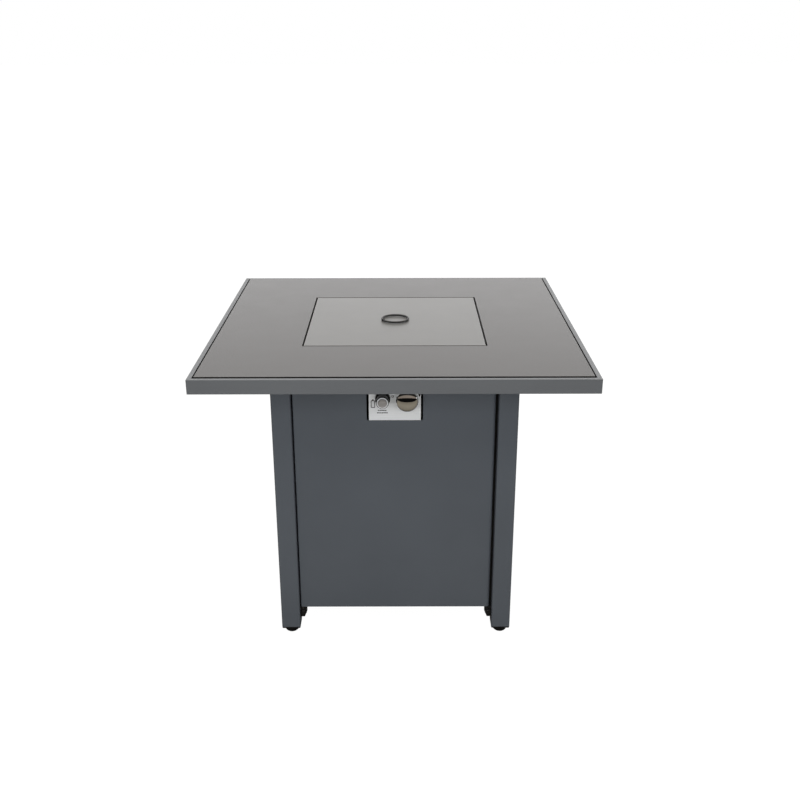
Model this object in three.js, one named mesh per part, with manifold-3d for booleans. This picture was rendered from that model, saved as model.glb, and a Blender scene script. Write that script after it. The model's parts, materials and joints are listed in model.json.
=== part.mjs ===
// Square gas fire pit table: a framed tabletop with a lift-off lid over the burner pan,
// on a panelled base that hides the gas cylinder behind a hinged door.
// Millimetres. The origin is on the floor under the middle of the table.
// +X is to the right, +Y to the back, +Z up.

import * as THREE from 'three';
import { mergeVertices } from 'three/addons/utils/BufferGeometryUtils.js';
import Module from 'manifold-3d';

const wasm = await Module();
wasm.setup();

// Driving sizes.
const tableWidth = 762;
const tableHeight = 638.5;
const panelStep = 1.5;
const rimHeight = 28.5;
const rimBorder = 9;
const rimGap = 3.2;
const baseWidth = 495;
const legSize = 40;
const lidWidth = 366;
const lidGap = 3.5;
const panelInset = 10;
const panelBottom = 61.5;
const legBottom = 13.5;
const fit = 0.3;
const steelSheet = 1.2;

// Heights that follow from them.
const half = tableWidth / 2;
const rimTop = tableHeight - panelStep;
const rimBottom = rimTop - rimHeight;
const panelSheet = 1.5;
const panelDepth = 10;
const panelUnderside = tableHeight - panelDepth;
const legTop = rimBottom + 1.4;
const baseHalf = baseWidth / 2;
const legInner = baseHalf - legSize;
const legCentre = baseHalf - legSize / 2;
const faceDepth = baseHalf - panelInset;
const openingHalf = lidWidth / 2 + lidGap;

// Colour, roughness and metalness of each finish.
const finishes = {
  charcoalPaint: [0x555a5e, 0.5, 0.3],
  tabletopPaint: [0x8f8c89, 0.45, 0.3],
  lidPaint: [0xa8a7a5, 0.4, 0.4],
  blackSteel: [0x1c1d1f, 0.5, 0.4],
  stainless: [0xb4b6b8, 0.3, 0.9],
  chrome: [0xd8d9db, 0.08, 1.0],
  brass: [0xb08d4a, 0.35, 0.9],
  aluminium: [0x9a9c9f, 0.4, 0.9],
  blackPlastic: [0x17181a, 0.55, 0.0],
  ceramic: [0xe6e2d8, 0.4, 0.0],
  lavaRock: [0x2c2826, 0.95, 0.0],
};

const group = new THREE.Group();
group.name = 'fire_pit_table';

// Closed triangle geometry to a solid, with its faces turned outwards.
function solidOf(geometry) {
  const plain = geometry.clone();
  plain.deleteAttribute('normal');
  plain.deleteAttribute('uv');
  const merged = mergeVertices(plain, 1e-4);
  const index = merged.index.array;
  const points = merged.attributes.position;
  const [a, b, c] = [new THREE.Vector3(), new THREE.Vector3(), new THREE.Vector3()];
  const triangles = [];
  let volume = 0;
  for (let i = 0; i < index.length; i += 3) {
    const corner = [index[i], index[i + 1], index[i + 2]];
    if (corner[0] === corner[1] || corner[1] === corner[2] || corner[2] === corner[0]) {
      continue;
    }
    a.fromBufferAttribute(points, corner[0]);
    b.fromBufferAttribute(points, corner[1]);
    c.fromBufferAttribute(points, corner[2]);
    volume += a.dot(b.cross(c));
    triangles.push(corner);
  }
  const turned = volume < 0 ? triangles.map(([p, q, r]) => [p, r, q]) : triangles;
  return new wasm.Manifold(new wasm.Mesh({
    numProp: 3,
    vertProperties: new Float32Array(points.array),
    triVerts: new Uint32Array(turned.flat()),
  }));
}

function geometryOf(solid) {
  const mesh = solid.getMesh();
  const geometry = new THREE.BufferGeometry();
  const positions = new Float32Array(mesh.vertProperties);
  geometry.setAttribute('position', new THREE.BufferAttribute(positions, 3));
  geometry.setIndex(new THREE.BufferAttribute(new Uint32Array(mesh.triVerts), 1));
  return geometry;
}

// Adds one named piece to the assembly.
function piece(name, solid, finish) {
  const [color, roughness, metalness] = finishes[finish];
  const material = new THREE.MeshStandardMaterial({ color, roughness, metalness });
  const mesh = new THREE.Mesh(geometryOf(solid), material);
  mesh.name = name;
  group.add(mesh);
}

function join(first, ...others) {
  return others.reduce((whole, next) => whole.add(next), first);
}

function cut(solid, ...tools) {
  return tools.reduce((rest, tool) => rest.subtract(tool), solid);
}

function block([x0, x1], [y0, y1], [z0, z1]) {
  const box = new THREE.BoxGeometry(x1 - x0, y1 - y0, z1 - z0);
  box.translate((x0 + x1) / 2, (y0 + y1) / 2, (z0 + z1) / 2);
  return solidOf(box);
}

// A square slab centred on the table's axis.
function slab(halfWidth, z0, z1) {
  return block([-halfWidth, halfWidth], [-halfWidth, halfWidth], [z0, z1]);
}

// A square frustum centred on the table's axis, for folded sheet with leaning sides.
function frustum(halfBottom, halfTop, z0, z1) {
  const toCorner = Math.SQRT2;
  const shape = new THREE.CylinderGeometry(halfTop * toCorner, halfBottom * toCorner, z1 - z0, 4);
  shape.rotateY(Math.PI / 4);
  shape.rotateX(Math.PI / 2);
  shape.translate(0, 0, (z0 + z1) / 2);
  return solidOf(shape);
}

// Upright round bar at x, y.
function post(radius, x, y, [z0, z1], sides = 24) {
  const bar = new THREE.CylinderGeometry(radius, radius, z1 - z0, sides);
  bar.rotateX(Math.PI / 2);
  bar.translate(x, y, (z0 + z1) / 2);
  return solidOf(bar);
}

// Round bar that runs front to back at x, z.
function spar(radius, x, z, [y0, y1], sides = 24) {
  const bar = new THREE.CylinderGeometry(radius, radius, y1 - y0, sides);
  bar.translate(x, (y0 + y1) / 2, z);
  return solidOf(bar);
}

// Turned shape about an upright axis. The profile is a closed loop of [radius, height].
function turnedUp(profile, x, y, sides = 32) {
  const loop = [...profile, profile[0]].map(([r, h]) => new THREE.Vector2(r, h));
  const shape = new THREE.LatheGeometry(loop, sides);
  shape.rotateX(Math.PI / 2);
  shape.translate(x, y, 0);
  return solidOf(shape);
}

// Turned shape about a front-to-back axis. The profile is a closed loop of [radius, distance],
// the distance measured forwards from the plane y = back.
function turnedForward(profile, x, z, back, sides = 32) {
  const loop = [...profile, profile[0]].map(([r, d]) => new THREE.Vector2(r, d));
  const shape = new THREE.LatheGeometry(loop, sides);
  shape.rotateZ(Math.PI);
  shape.translate(x, back, z);
  return solidOf(shape);
}

// Plan outline in x, y raised from z0 to z1.
function raised(outline, [z0, z1]) {
  const shape = new THREE.Shape(outline.map(([x, y]) => new THREE.Vector2(x, y)));
  const solid = new THREE.ExtrudeGeometry(shape, { depth: z1 - z0, bevelEnabled: false });
  solid.translate(0, 0, z0);
  return solidOf(solid);
}

// Round cord through a list of points.
function cordThrough(points, radius, steps, sides) {
  const path = new THREE.CatmullRomCurve3(points.map((p) => new THREE.Vector3(...p)));
  const section = new THREE.Shape();
  section.absarc(0, 0, radius, 0, 2 * Math.PI, false);
  const cord = new THREE.ExtrudeGeometry(section, {
    steps,
    curveSegments: sides / 2,
    extrudePath: path,
    bevelEnabled: false,
  });
  return solidOf(cord);
}

function quarterTurned(solid, turns) {
  return solid.rotate([0, 0, 90 * turns]);
}

function roundedSquare(path, halfWidth, radius) {
  const flat = halfWidth - radius;
  path.absarc(flat, -flat, radius, -Math.PI / 2, 0, false);
  path.absarc(flat, flat, radius, 0, Math.PI / 2, false);
  path.absarc(-flat, flat, radius, Math.PI / 2, Math.PI, false);
  path.absarc(-flat, -flat, radius, Math.PI, 1.5 * Math.PI, false);
  return path;
}

// Square bar with rounded corners, standing at the origin.
function squareBar(halfWidth, cornerRadius, [z0, z1]) {
  const outline = roundedSquare(new THREE.Shape(), halfWidth, cornerRadius);
  const bar = new THREE.ExtrudeGeometry(outline, {
    depth: z1 - z0,
    curveSegments: 2,
    bevelEnabled: false,
  });
  bar.translate(0, 0, z0);
  return solidOf(bar);
}

// ---------------------------------------------------------------- tabletop

// One side of the rim: a hollow-topped section with a ledge for the panel and a turned-in foot,
// its ends mitred. Built along the front, then turned to its side.
function rimSide(turns) {
  const wall = 2;
  const ledgeTop = panelUnderside - fit - rimBottom;
  const ledgeReach = 26;
  const footReach = 14;
  const section = new THREE.Shape([
    new THREE.Vector2(0, 0),
    new THREE.Vector2(footReach, 0),
    new THREE.Vector2(footReach, wall),
    new THREE.Vector2(wall, wall),
    new THREE.Vector2(wall, ledgeTop - wall),
    new THREE.Vector2(ledgeReach, ledgeTop - wall),
    new THREE.Vector2(ledgeReach, ledgeTop),
    new THREE.Vector2(rimBorder, ledgeTop),
    new THREE.Vector2(rimBorder, rimHeight),
    new THREE.Vector2(0, rimHeight),
  ]);
  section.holes.push(new THREE.Path([
    new THREE.Vector2(wall, ledgeTop),
    new THREE.Vector2(wall, rimHeight - wall),
    new THREE.Vector2(rimBorder - wall, rimHeight - wall),
    new THREE.Vector2(rimBorder - wall, ledgeTop),
  ]));
  const bar = new THREE.ExtrudeGeometry(section, { depth: tableWidth, bevelEnabled: false });
  const points = bar.attributes.position;
  for (let i = 0; i < points.count; i += 1) {
    const inward = points.getX(i);
    const height = points.getY(i);
    const atStart = points.getZ(i) < half;
    const reach = half - inward - fit / 2;
    points.setXYZ(i, atStart ? -reach : reach, inward - half, height + rimBottom);
  }
  return quarterTurned(solidOf(bar), turns);
}

function buildTabletop() {
  const sides = ['front', 'right', 'back', 'left'];
  sides.forEach((side, turns) => piece(`rim_${side}`, rimSide(turns), 'charcoalPaint'));

  const panelHalf = half - rimBorder - rimGap;
  const underSheet = tableHeight - panelSheet;
  const lip = 1.5;
  const panel = cut(
    join(
      cut(slab(panelHalf, panelUnderside, tableHeight), slab(panelHalf - lip, 0, underSheet)),
      slab(openingHalf + lip, panelUnderside, tableHeight),
    ),
    slab(openingHalf, 0, tableHeight + 1),
  );
  piece('tabletop_panel', panel, 'tabletopPaint');

  // Folded ring under the opening: flange under the sheet, wall down, ledge for the pan.
  const trimSheet = 1.5;
  const wallInner = openingHalf + lip + fit;
  const wallOuter = wallInner + trimSheet;
  const flangeTop = underSheet - fit;
  const ledgeBottom = tableHeight - 14.5;
  const trim = cut(
    join(
      slab(legInner - 2.5, flangeTop - trimSheet, flangeTop),
      slab(wallOuter, ledgeBottom, flangeTop),
    ),
    slab(wallInner, ledgeBottom + trimSheet, tableHeight),
    slab(openingHalf - 14, 0, tableHeight),
  );
  piece('opening_trim', trim, 'blackSteel');

  // Rectangular tubes on top of the legs that carry the panel.
  const railBand = [legTop + fit, flangeTop];
  const bore = [railBand[0] + 1.5, railBand[1] - 1.5];
  const reach = legInner - fit;
  const shortRail = cut(
    block([-reach, reach], [-baseHalf, -legInner], railBand),
    block([-half, half], [-baseHalf + 1.5, -legInner - 1.5], bore),
  );
  const longRail = cut(
    block([-baseHalf, -legInner], [-baseHalf, baseHalf], railBand),
    block([-baseHalf + 1.5, -legInner - 1.5], [-half, half], bore),
  );
  piece('deck_rail_front', shortRail, 'charcoalPaint');
  piece('deck_rail_back', quarterTurned(shortRail, 2), 'charcoalPaint');
  piece('deck_rail_left', longRail, 'charcoalPaint');
  piece('deck_rail_right', quarterTurned(longRail, 2), 'charcoalPaint');
}

// ---------------------------------------------------------------- lid

const panFlangeTop = tableHeight - 11.5;
const ringWire = 2.3;
const ringRadius = 28.2;
const ringHeight = tableHeight + fit + ringWire;
const lugTurn = 25;

function buildLid() {
  const outer = lidWidth / 2;
  const lid = cut(
    slab(outer, panFlangeTop + fit, tableHeight),
    slab(outer - steelSheet, 0, tableHeight - steelSheet),
  );
  piece('lid', lid, 'lidPaint');

  // Staple that holds the ring down at one point, where the ring hinges.
  const slack = ringWire + 0.4;
  const lug = cut(
    spar(slack + 1, -ringRadius, ringHeight, [-3.5, 3.5], 20),
    spar(slack, -ringRadius, ringHeight, [-10, 10], 20),
    block([-ringRadius - slack, -ringRadius + slack], [-10, 10], [0, ringHeight]),
    block([-half, half], [-10, 10], [0, tableHeight + fit]),
  );
  piece('lid_ring_lug', lug.rotate([0, 0, lugTurn]), 'blackSteel');

  const ring = new THREE.TorusGeometry(ringRadius, ringWire, 10, 40);
  ring.translate(0, 0, ringHeight);
  piece('lid_pull_ring', solidOf(ring), 'blackSteel');
}

// ---------------------------------------------------------------- burner

const panFloor = tableHeight - 78;
const burnerHeight = panFloor + 25;
const burnerRadius = 100;
const burnerTube = 9.5;
const nippleRadius = 7;
const mixerHeight = panFloor - 19;
const shieldHeight = panFloor - 36;
const electrodeSpot = [-38, -124];
const thermocoupleSpot = [-16, -124];

function buildBurner() {
  const flangeHalf = openingHalf - 1.5;
  const flangeBottom = panFlangeTop - steelSheet;
  const [rimHalf, floorHalf] = [165, 152];
  const pan = cut(
    join(
      slab(flangeHalf, flangeBottom, panFlangeTop),
      frustum(floorHalf, rimHalf, panFloor, panFlangeTop),
    ),
    frustum(floorHalf - steelSheet, rimHalf - steelSheet, panFloor + steelSheet, panFlangeTop + 0.5),
    post(nippleRadius + 0.5, 0, 0, [0, panFloor + 10]),
    post(3.5, ...electrodeSpot, [0, panFloor + 10], 16),
    post(3.0, ...thermocoupleSpot, [0, panFloor + 10], 16),
  );
  piece('burner_pan', pan, 'stainless');

  const hoop = new THREE.TorusGeometry(burnerRadius, burnerTube, 10, 32);
  hoop.translate(0, 0, burnerHeight);
  const crossbar = new THREE.CylinderGeometry(8, 8, 2 * burnerRadius, 16);
  crossbar.rotateZ(Math.PI / 2);
  crossbar.translate(0, 0, burnerHeight);
  const nippleBottom = panFloor - 15;
  const burner = join(
    solidOf(hoop),
    solidOf(crossbar),
    post(18, 0, 0, [burnerHeight - 9, burnerHeight + 9]),
    post(nippleRadius, 0, 0, [nippleBottom, burnerHeight]),
  );
  piece('burner_ring', burner, 'stainless');

  const nut = cut(
    post(13, 0, 0, [panFloor - 7, panFloor - fit], 6),
    post(nippleRadius + fit, 0, 0, [0, panFloor + 10]),
  );
  piece('burner_lock_nut', nut, 'stainless');

  // Elbow that feeds gas and air to the burner, with its barrel pointing to the controls.
  const mixerTop = panFloor - 7.5;
  const barrelEnd = -62;
  const mixer = cut(
    join(
      post(11, 0, 0, [mixerHeight, mixerTop]),
      spar(9, 0, mixerHeight, [barrelEnd, 0]),
      spar(11.5, 0, mixerHeight, [barrelEnd, barrelEnd + 12], 6),
      spar(11, 0, mixerHeight, [-3, 3]),
    ),
    post(nippleRadius + fit, 0, 0, [nippleBottom - fit, mixerTop + 5]),
  );
  piece('air_mixer', mixer, 'brass');

  // Folded sheet that keeps the heat of the pan off the gas cylinder.
  const shieldHalf = 145;
  const shieldTop = panFloor - fit;
  const shield = cut(
    block([-shieldHalf, shieldHalf], [-shieldHalf, shieldHalf], [shieldHeight, shieldTop]),
    block(
      [-shieldHalf + steelSheet, shieldHalf - steelSheet],
      [-half, half],
      [shieldHeight + steelSheet, tableHeight],
    ),
  );
  piece('heat_shield', shield, 'aluminium');

  // Plate that stands in the pan beside the burner and holds the electrode and the thermocouple.
  const plateTop = panFloor + 15;
  const middle = (electrodeSpot[0] + thermocoupleSpot[0]) / 2;
  const guardSides = [middle - 25, middle + 25];
  const guard = cut(
    join(
      block(guardSides, [-134, -133], [panFloor + steelSheet + fit, panFloor + 40]),
      block(guardSides, [-134, -114], [plateTop, plateTop + 1]),
    ),
    post(3.4, ...electrodeSpot, [plateTop - 5, plateTop + 5], 16),
    post(2.9, ...thermocoupleSpot, [plateTop - 5, plateTop + 5], 16),
  );
  piece('sensor_bracket', guard, 'stainless');

  const stemBottom = panFloor - 12;
  const electrode = turnedUp([
    [0, stemBottom],
    [3, stemBottom],
    [3, plateTop + 8],
    [1.2, plateTop + 10],
    [1.2, plateTop + 22],
    [0, plateTop + 22],
  ], ...electrodeSpot, 16);
  piece('ignition_electrode', electrode, 'ceramic');
  const thermocouple = turnedUp([
    [0, stemBottom],
    [2.5, stemBottom],
    [2.5, plateTop + 18],
    [1.5, plateTop + 22],
    [0, plateTop + 22],
  ], ...thermocoupleSpot, 16);
  piece('thermocouple', thermocouple, 'brass');

  // Rocks over the burner, kept clear of the burner tube and of the sensors.
  const bedHalf = 150.3;
  const bedTop = panFloor + 46;
  const bed = cut(
    slab(bedHalf, panFloor + steelSheet + fit, bedTop),
    post(burnerRadius + burnerTube + 2, 0, 0, [0, burnerHeight + 11], 32),
    block([guardSides[0] - 3, guardSides[1] + 3], [-137, -100], [0, tableHeight]),
  );
  piece('lava_rock_bed', bed, 'lavaRock');
}

// ---------------------------------------------------------------- controls

const controlHeight = rimTop - 89;
const igniterX = -24.2;
const knobX = 24.3;
const plateBack = -faceDepth - 0.9;
const plateFront = plateBack - 1.5;
const bracketFront = plateBack + fit;
const bracketBack = bracketFront + 1.5;
const plateBottom = rimTop - 137.5;
const plateHalfWidth = 52;
const valveFront = bracketBack + fit;
const valveBack = -192;
const boreRadius = 7.3;
const igniterBack = -190;

function buildControls() {
  const igniterHole = spar(11, igniterX, controlHeight, [-260, -200]);
  const knobHole = spar(6, knobX, controlHeight, [-260, -200]);
  const plate = cut(
    block([-plateHalfWidth, plateHalfWidth], [plateFront, plateBack], [plateBottom, rimBottom - 6]),
    igniterHole,
    knobHole,
  );
  piece('control_plate', plate, 'stainless');

  const bracketHalf = plateHalfWidth - 2.5;
  const bracketTop = legTop;
  const bracket = cut(
    join(
      block([-bracketHalf, bracketHalf], [bracketFront, bracketBack], [plateBottom + 4, bracketTop]),
      block([-bracketHalf, bracketHalf], [bracketFront, -212], [bracketTop - 1.5, bracketTop]),
    ),
    igniterHole,
    knobHole,
  );
  piece('control_bracket', bracket, 'blackSteel');

  // Gas valve: block with a bore for the spindle, the cylinder hose inlet below and outlet behind.
  const inletY = -206;
  const valve = cut(
    join(
      block([knobX - 17, knobX + 17], [valveFront, valveBack], [controlHeight - 16, controlHeight + 16]),
      spar(7, knobX, controlHeight, [valveBack - 1, valveBack + 4]),
      post(11, knobX, inletY, [controlHeight - 26, controlHeight - 15], 6),
      post(8, knobX, inletY, [controlHeight - 42, controlHeight - 25]),
    ),
    spar(boreRadius, knobX, controlHeight, [-260, -208]),
    post(4, knobX, inletY, [0, controlHeight - 20], 16),
  );
  piece('gas_valve', valve, 'brass');

  const bush = cut(
    spar(boreRadius - fit, knobX, controlHeight, [-233, -218]),
    spar(4.3, knobX, controlHeight, [-260, -200]),
  );
  piece('valve_bush', bush, 'brass');
  const knobBack = plateFront - 6.6;
  const spindle = spar(4, knobX, controlHeight, [knobBack - 14, -213]);
  piece('valve_spindle', spindle, 'stainless');

  // Hollow knob with a domed face and a hub on the spindle. Distances run forward from its back.
  const knobRadius = 22;
  const skirt = 15.5;
  const dome = 8;
  const domed = [];
  for (let i = 0; i <= 4; i += 1) {
    const angle = (i * Math.PI) / 10;
    domed.push([knobRadius * Math.cos(angle), skirt + dome * Math.sin(angle)]);
  }
  const knob = turnedForward([
    [4.3, 0],
    [7.5, 0],
    [7.5, skirt + 1.5],
    [knobRadius - 3, skirt - 1],
    [knobRadius - 2, 0],
    [knobRadius, 0],
    ...domed,
    [0, skirt + 0.5],
    [4.3, skirt + 0.5],
  ], knobX, controlHeight, knobBack, 32);
  piece('control_knob', knob, 'chrome');

  // Igniter: body behind the plate, collar screwed on in front, push button inside the collar.
  const neckReach = 8;
  const neckBore = 4.4;
  const body = cut(
    join(
      spar(14, igniterX, controlHeight, [valveFront, igniterBack]),
      spar(10.5, igniterX, controlHeight, [plateFront - neckReach, igniterBack - 5]),
    ),
    spar(neckBore, igniterX, controlHeight, [-260, -222], 16),
  );
  piece('igniter_body', body, 'blackPlastic');
  const collarReach = 32;
  const collar = turnedForward([
    [10.8, fit],
    [15, fit],
    [15, 9.5],
    [13.6, 11],
    [12.4, 11],
    [12.4, collarReach - 1],
    [11.6, collarReach],
    [9.3, collarReach],
    [9.3, neckReach + 0.6],
    [10.8, neckReach + 0.6],
  ], igniterX, controlHeight, plateFront, 28);
  piece('igniter_collar', collar, 'chrome');
  const button = turnedForward([
    [0, -8],
    [4, -8],
    [4, collarReach - 12],
    [8.9, collarReach - 12],
    [8.9, collarReach + 1],
    [7.5, collarReach + 2],
    [0, collarReach + 2.5],
  ], igniterX, controlHeight, plateFront, 24);
  piece('igniter_button', button, 'chrome');

  const gasRoute = [
    [0, -62.3, mixerHeight],
    [0, -85, mixerHeight],
    [10, -118, mixerHeight + 3],
    [knobX, -155, controlHeight],
    [knobX, valveBack + 4.3, controlHeight],
  ];
  piece('gas_line', cordThrough(gasRoute, 5.5, 16, 10), 'stainless');
  const wireEnd = panFloor - 12.5;
  const wireRoute = [
    [igniterX, igniterBack + 5.5, controlHeight],
    [igniterX, igniterBack + 14, controlHeight - 1],
    [-34, -145, wireEnd - 13],
    [electrodeSpot[0], electrodeSpot[1] - 1, wireEnd - 7],
    [...electrodeSpot, wireEnd],
  ];
  piece('igniter_wire', cordThrough(wireRoute, 1.5, 16, 6), 'blackPlastic');
  const leadRoute = [
    [knobX - 17.5, -202, controlHeight],
    [knobX - 26, -201, controlHeight - 1],
    [-10, -165, wireEnd - 14],
    [thermocoupleSpot[0], thermocoupleSpot[1] - 1, wireEnd - 7],
    [...thermocoupleSpot, wireEnd],
  ];
  piece('thermocouple_lead', cordThrough(leadRoute, 1.2, 16, 6), 'brass');
}

// ---------------------------------------------------------------- base

const corners = [
  ['front_left', -1, -1],
  ['front_right', 1, -1],
  ['back_left', -1, 1],
  ['back_right', 1, 1],
];
const hingeX = -legInner + 6;
const hingeY = -faceDepth + 3.5;
const doorTop = rimBottom - 4.5;
const shelfTop = panelBottom - 0.6;
const pinSeat = 6;
const returnDepth = 15;

function buildLegs() {
  const wall = 1.5;
  const cornerRadius = 3;
  const outer = legSize / 2;
  const bore = outer - wall;
  const tubeBottom = legBottom + 3.2;
  const tube = cut(
    squareBar(outer, cornerRadius, [tubeBottom, legTop]),
    squareBar(bore, cornerRadius - wall, [0, tableHeight]),
  );
  const cap = cut(
    join(
      squareBar(outer - fit, cornerRadius, [legBottom, tubeBottom - fit]),
      squareBar(bore - fit, cornerRadius - wall, [legBottom + 1, legBottom + 16]),
    ),
    post(4.3, 0, 0, [0, legBottom + 50], 20),
  );
  const footRadius = 15;
  const foot = turnedUp([
    [0, 0],
    [footRadius - 4, 0],
    [footRadius - 1.2, 1.6],
    [footRadius, 4.5],
    [footRadius, 9],
    [footRadius - 1, 10.5],
    [7, 10.8],
    [7, legBottom - fit],
    [4, legBottom - fit],
    [4, legBottom + 30],
    [0, legBottom + 30],
  ], 0, 0, 20);
  corners.forEach(([corner, sideX, sideY]) => {
    const place = [sideX * legCentre, sideY * legCentre, 0];
    piece(`leg_${corner}`, tube.translate(place), 'charcoalPaint');
    piece(`leg_cap_${corner}`, cap.translate(place), 'blackPlastic');
    piece(`foot_${corner}`, foot.translate(place), 'blackPlastic');
  });
}

// Fixed panel between two legs, with both upright edges folded inwards. Built at the front.
function basePanel(turns) {
  const reach = legInner - fit;
  const front = -faceDepth;
  const panel = raised([
    [-reach, front],
    [reach, front],
    [reach, front + returnDepth],
    [reach - steelSheet, front + returnDepth],
    [reach - steelSheet, front + steelSheet],
    [-reach + steelSheet, front + steelSheet],
    [-reach + steelSheet, front + returnDepth],
    [-reach, front + returnDepth],
  ], [panelBottom, legTop - 0.4]);
  return quarterTurned(panel, turns);
}

// Door: a shallow tray with a rounded finger edge on the right and a notch for the controls.
function buildDoor() {
  const left = -legInner + 2.5;
  const right = legInner - 5;
  const front = -faceDepth;
  const rear = front + returnDepth;
  const bend = 7;
  const outerBend = [];
  const innerBend = [];
  for (let i = 0; i <= 5; i += 1) {
    const angle = (i * Math.PI) / 10;
    const [across, along] = [Math.sin(angle), Math.cos(angle)];
    outerBend.push([right - bend + bend * across, front + bend - bend * along]);
    const inner = bend - steelSheet;
    innerBend.unshift([right - bend + inner * across, front + bend - inner * along]);
  }
  const sheet = raised([
    [left, rear],
    [left, front],
    ...outerBend,
    [right, rear],
    [right - steelSheet, rear],
    ...innerBend,
    [left + steelSheet, front + steelSheet],
    [left + steelSheet, rear],
  ], [panelBottom, doorTop]);
  const flange = (z0) => block(
    [left + steelSheet - 0.1, right - bend],
    [front + steelSheet - 0.1, rear],
    [z0, z0 + steelSheet],
  );
  const pinHole = (z) => post(2.15, hingeX, hingeY, [z - 5, z + 5], 20);
  const notchHalf = plateHalfWidth + 3.5;
  const door = cut(
    join(sheet, flange(panelBottom), flange(doorTop - steelSheet)),
    block([-notchHalf, notchHalf], [-half, 0], [plateBottom - 1, tableHeight]),
    pinHole(panelBottom),
    pinHole(doorTop),
  );
  piece('door', door, 'charcoalPaint');

  // Lower pin stands in the left front tray bracket; the upper one is on its own bracket.
  const pinRadius = 1.8;
  const lowerPin = post(pinRadius, hingeX, hingeY, [shelfTop - pinSeat + fit, shelfTop + 8], 20);
  piece('door_pin_lower', lowerPin, 'stainless');
  const lugBottom = doorTop + 1.2;
  const upper = join(
    block([-legInner + fit, hingeX + 7], [hingeY - 7, hingeY + 7], [lugBottom, lugBottom + 2]),
    block([-legInner + fit, -legInner + fit + 2], [hingeY - 7, hingeY + 7], [lugBottom, legTop]),
    post(pinRadius, hingeX, hingeY, [doorTop - 7, lugBottom + 1], 20),
  );
  piece('door_hinge_upper', upper, 'blackSteel');

  // Strip on the right front leg that the door closes against, with a magnet behind it.
  const stopFace = rear + 0.5;
  const stopBack = stopFace + steelSheet;
  const stop = block([legInner - 18, legInner - fit], [stopFace, stopBack], [panelBottom, doorTop]);
  piece('door_stop', stop, 'blackSteel');
  const magnet = block(
    [legInner - 18, legInner - fit],
    [stopBack + fit, -legInner - 1],
    [320, 352],
  );
  piece('door_catch', magnet, 'blackPlastic');
}

// Tray for the gas cylinder with a locating hoop, on four brackets screwed to the legs.
function buildTray() {
  const floor = shelfTop + fit;
  const trayHalf = legInner - 1.5;
  const tray = cut(
    join(
      cut(slab(trayHalf, floor, floor + 13), slab(trayHalf - steelSheet, floor + steelSheet, half)),
      cut(
        post(108, 0, 0, [floor, floor + 9], 48),
        post(106.5, 0, 0, [floor + steelSheet, half], 48),
      ),
    ),
    post(35, 0, 0, [0, half], 32),
  );
  piece('tank_tray', tray, 'blackSteel');

  const plate = 3;
  const shelfReach = 15;
  const outer = legInner - fit;
  const length = 56;
  const front = -faceDepth + 1.5;
  const webBottom = shelfTop - 25;
  const web = block([-outer, -outer + plate], [front, front + length], [webBottom, shelfTop]);
  const shelf = block([-outer, -outer + shelfReach], [front, front + length], [shelfTop - plate, shelfTop]);
  const gusset = new THREE.ExtrudeGeometry(new THREE.Shape([
    new THREE.Vector2(-outer, webBottom),
    new THREE.Vector2(-outer + 9, webBottom),
    new THREE.Vector2(-outer + shelfReach, shelfTop - 10),
    new THREE.Vector2(-outer + shelfReach, shelfTop),
    new THREE.Vector2(-outer, shelfTop),
  ]), { depth: plate, bevelEnabled: false });
  gusset.rotateX(Math.PI / 2);
  gusset.translate(0, front + plate, 0);
  const pinHole = post(2.1, hingeX, hingeY, [shelfTop - pinSeat, 100], 20);
  const bracket = cut(join(web, shelf, solidOf(gusset)), pinHole);
  corners.forEach(([corner, sideX, sideY]) => {
    const onSide = sideX > 0 ? bracket.mirror([1, 0, 0]) : bracket;
    const placed = sideY > 0 ? onSide.mirror([0, 1, 0]) : onSide;
    piece(`tray_bracket_${corner}`, placed, 'blackSteel');
  });
}

buildTabletop();
buildLid();
buildBurner();
buildControls();
buildLegs();
piece('panel_right', basePanel(1), 'charcoalPaint');
piece('panel_back', basePanel(2), 'charcoalPaint');
piece('panel_left', basePanel(3), 'charcoalPaint');
buildDoor();
buildTray();

export default group;
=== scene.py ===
"""Square gas fire pit table, dressed for rendering. All lengths are in metres."""

import json
import math
import random

import bmesh
import bpy
from mathutils import Euler, Matrix, Vector, noise


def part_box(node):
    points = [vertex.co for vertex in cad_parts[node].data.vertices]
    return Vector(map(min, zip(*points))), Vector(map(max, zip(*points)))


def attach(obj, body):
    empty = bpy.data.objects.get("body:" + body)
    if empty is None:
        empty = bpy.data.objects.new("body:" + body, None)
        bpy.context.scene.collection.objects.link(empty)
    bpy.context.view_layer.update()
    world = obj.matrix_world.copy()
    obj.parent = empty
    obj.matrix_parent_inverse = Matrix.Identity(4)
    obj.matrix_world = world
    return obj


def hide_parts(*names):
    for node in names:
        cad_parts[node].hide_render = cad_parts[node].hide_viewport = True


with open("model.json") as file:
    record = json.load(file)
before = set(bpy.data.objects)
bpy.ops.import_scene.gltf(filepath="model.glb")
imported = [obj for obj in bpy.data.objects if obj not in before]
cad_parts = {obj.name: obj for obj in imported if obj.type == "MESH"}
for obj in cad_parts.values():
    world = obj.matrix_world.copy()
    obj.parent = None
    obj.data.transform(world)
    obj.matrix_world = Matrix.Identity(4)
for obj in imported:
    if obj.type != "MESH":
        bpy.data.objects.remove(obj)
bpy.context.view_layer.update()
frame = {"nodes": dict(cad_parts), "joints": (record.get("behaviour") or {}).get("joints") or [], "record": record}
NODES = frame["nodes"]
SLOTS = {entry["node"]: entry["material_slot"] for entry in frame["record"]["subparts"]}
CORNERS = ("front_left", "front_right", "back_left", "back_right")


# ---------------------------------------------------------------- camera and light

CAMERA_LENS = 44.10
CAMERA_PLACE = (0.0126, -2.0610, 1.2449)
CAMERA_ANGLES = (68.918, 0.133, 0.019)

STUDIO_LEVEL = 2.6
LEFT_LEVEL = 0.90
RIGHT_LEVEL = 1.02

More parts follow.
